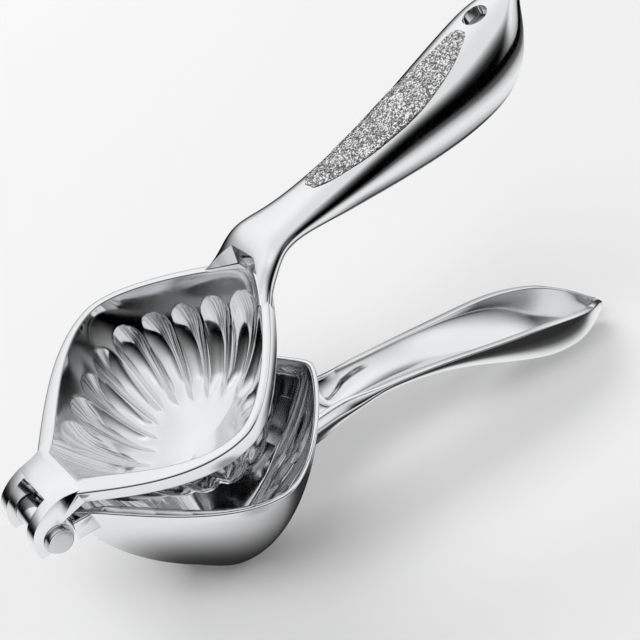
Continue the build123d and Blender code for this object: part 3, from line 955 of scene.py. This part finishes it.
def glowLook(name):
    # a look that only glows; its colour is linked by what uses it
    made = bpy.data.materials.new(name)
    made.use_nodes = True
    tree = made.node_tree
    tree.nodes.clear()
    glow, out = tree.nodes.new("ShaderNodeEmission"), tree.nodes.new("ShaderNodeOutputMaterial")
    wire(tree, (glow, 0, out, "Surface"))
    return made, tree, glow


def reflectionDome():
    # a glowing tent round the set that only the metal sees, a painted reflection: dark at its foot, pale above,
    # darker in front than behind, with a pale side past the handles
    radius, (turns, tiers) = studio["domeRadius"], studio["domeSteps"]
    rings = [[(radius * math.cos(e) * math.cos(a), radius * math.cos(e) * math.sin(a), radius * math.sin(e))
              for a in np.linspace(0, 2 * math.pi, turns, endpoint=False)]
             for e in np.linspace(0, studio["domeTop"], tiers)]
    points = [p for ring in rings for p in ring] + [(0, 0, radius)]
    last = (tiers - 1) * turns
    roof = [(last + j, last + (j + 1) % turns, tiers * turns) for j in range(turns)]
    piece = newPiece("reflectionDome", points, ringFaces(tiers, turns) + roof)
    made, tree, glow = glowLook("tentTone")
    put = tree.nodes.new
    place, split, rise = put("ShaderNodeTexCoord"), put("ShaderNodeSeparateXYZ"), put("ShaderNodeMath")
    turn, sideTurn = put("ShaderNodeMapRange"), put("ShaderNodeMapRange")
    mix, sideMix = put("ShaderNodeMix"), put("ShaderNodeMix")
    mix.data_type = sideMix.data_type = "RGBA"
    rise.operation = "DIVIDE"
    rise.inputs[1].default_value = radius
    for step, (low, high) in ((turn, studio["backSpan"]), (sideTurn, studio["sideSpan"])):
        step.interpolation_type = "SMOOTHSTEP"
        step.inputs["From Min"].default_value = low * radius
        step.inputs["From Max"].default_value = high * radius
    front, back, side = (toneRamp(tree, studio[key]) for key in ("frontTone", "backTone", "sideTone"))
    wire(tree, (place, "Object", split, 0), (split, "Z", rise, 0), (split, "Y", turn, "Value"),
         (split, "X", sideTurn, "Value"), *((rise, 0, ramp, "Fac") for ramp in (front, back, side)),
         (turn, "Result", mix, 0), (front, "Color", mix, 6), (back, "Color", mix, 7),
         (sideTurn, "Result", sideMix, 0), (mix, 2, sideMix, 6), (side, "Color", sideMix, 7),
         (sideMix, 2, glow, "Color"))
    piece.data.materials.append(made)
    return piece


def reflectionCard():
    # a glowing sheet on the floor that only the metal sees, a painted reflection: white close under the handles,
    # dark beside them, then white, and dark again far out
    radius, turns = studio["domeRadius"], studio["domeSteps"][0]
    angles = np.linspace(0, 2 * math.pi, turns, endpoint=False)
    edge = [(radius * math.cos(a), radius * math.sin(a), studio["cardHeight"]) for a in angles]
    piece = newPiece("reflectionCard", edge, [tuple(range(turns))])
    made, tree, glow = glowLook("cardTone")
    put = tree.nodes.new
    place, split, join = put("ShaderNodeTexCoord"), put("ShaderNodeSeparateXYZ"), put("ShaderNodeCombineXYZ")
    shift, size, past, clip = (put("ShaderNodeMath") for _ in range(4))
    shift.operation, size.operation, past.operation, clip.operation = "SUBTRACT", "ABSOLUTE", "SUBTRACT", "MAXIMUM"
    shift.inputs[1].default_value, past.inputs[1].default_value = studio["cardMiddle"], studio["cardRun"]
    clip.inputs[1].default_value = 0.0
    far, share = put("ShaderNodeVectorMath"), put("ShaderNodeMath")
    far.operation, share.operation = "LENGTH", "DIVIDE"
    share.inputs[1].default_value = studio["cardReach"]
    tone = toneRamp(tree, studio["cardTone"])
    # painted shadow under the bowl and painted shade in front of the hinge, as soft dark places
    both = put("ShaderNodeMath")
    both.operation = "MULTIPLY"
    for entry, (x, y, inner, outer, shade) in enumerate(studio["cardPaintedShade"]):
        flat, spot = put("ShaderNodeVectorMath"), put("ShaderNodeMapRange")
        flat.operation = "DISTANCE"
        flat.inputs[1].default_value = (x, y, 0)
        spot.interpolation_type = "SMOOTHSTEP"
        spot.inputs["From Min"].default_value, spot.inputs["From Max"].default_value = inner, outer
        spot.inputs["To Min"].default_value = shade
        wire(tree, (place, "Object", flat, 0), (flat, "Value", spot, "Value"), (spot, "Result", both, entry))
    wire(tree, (place, "Object", split, 0), (split, "X", shift, 0), (shift, 0, size, 0), (size, 0, past, 0),
         (past, 0, clip, 0), (clip, 0, join, "X"), (split, "Y", join, "Y"), (join, 0, far, 0),
         (far, "Value", share, 0), (share, 0, tone, "Fac"), (tone, "Color", glow, "Color"),
         (both, 0, glow, "Strength"))
    piece.data.materials.append(made)
    return piece


for sheet in (reflectionDome(), reflectionCard()):
    sheet.visible_camera = sheet.visible_diffuse = sheet.visible_shadow = False


def softBox(name, at, wide, high, watts):
    light = bpy.data.lights.new(name, "AREA")
    light.shape = "RECTANGLE"
    light.size, light.size_y, light.energy = wide, high, watts
    lamp = addObject(name, light)
    lamp.location = at
    lamp.rotation_euler = (Vector(studio["aim"]) - Vector(at)).to_track_quat("-Z", "Y").to_euler()


for box in studio["softBoxes"]:
    softBox(*box)

world = bpy.data.worlds.new("studioWorld")
scene.world = world
world.use_nodes = True
sky = world.node_tree.nodes["Background"]
sky.inputs["Color"].default_value = (1, 1, 1, 1)
sky.inputs["Strength"].default_value = studio["world"]

# camera at the photograph's place
view = {
    "at": (-102.424, -264.002, 240.651), "right": (0.80205, -0.57071, -0.17610),
    "down": (-0.43357, -0.35355, -0.82887), "ahead": (0.41078, 0.74115, -0.53100),
    "lens": 74.8, "sensor": 36.0, "near": 0.01,
}
eye = bpy.data.cameras.new("photoCamera")
eye.lens, eye.sensor_width, eye.clip_start = view["lens"], view["sensor"], view["near"]
camera = addObject("photoCamera", eye)
turn = Matrix((view["right"], [-v for v in view["down"]], [-v for v in view["ahead"]])).transposed().to_4x4()
camera.matrix_world = Matrix.Translation(Vector(view["at"]) * mm) @ turn
scene.camera = camera
scene.view_settings.view_transform = "Standard"
print("studio and camera set")
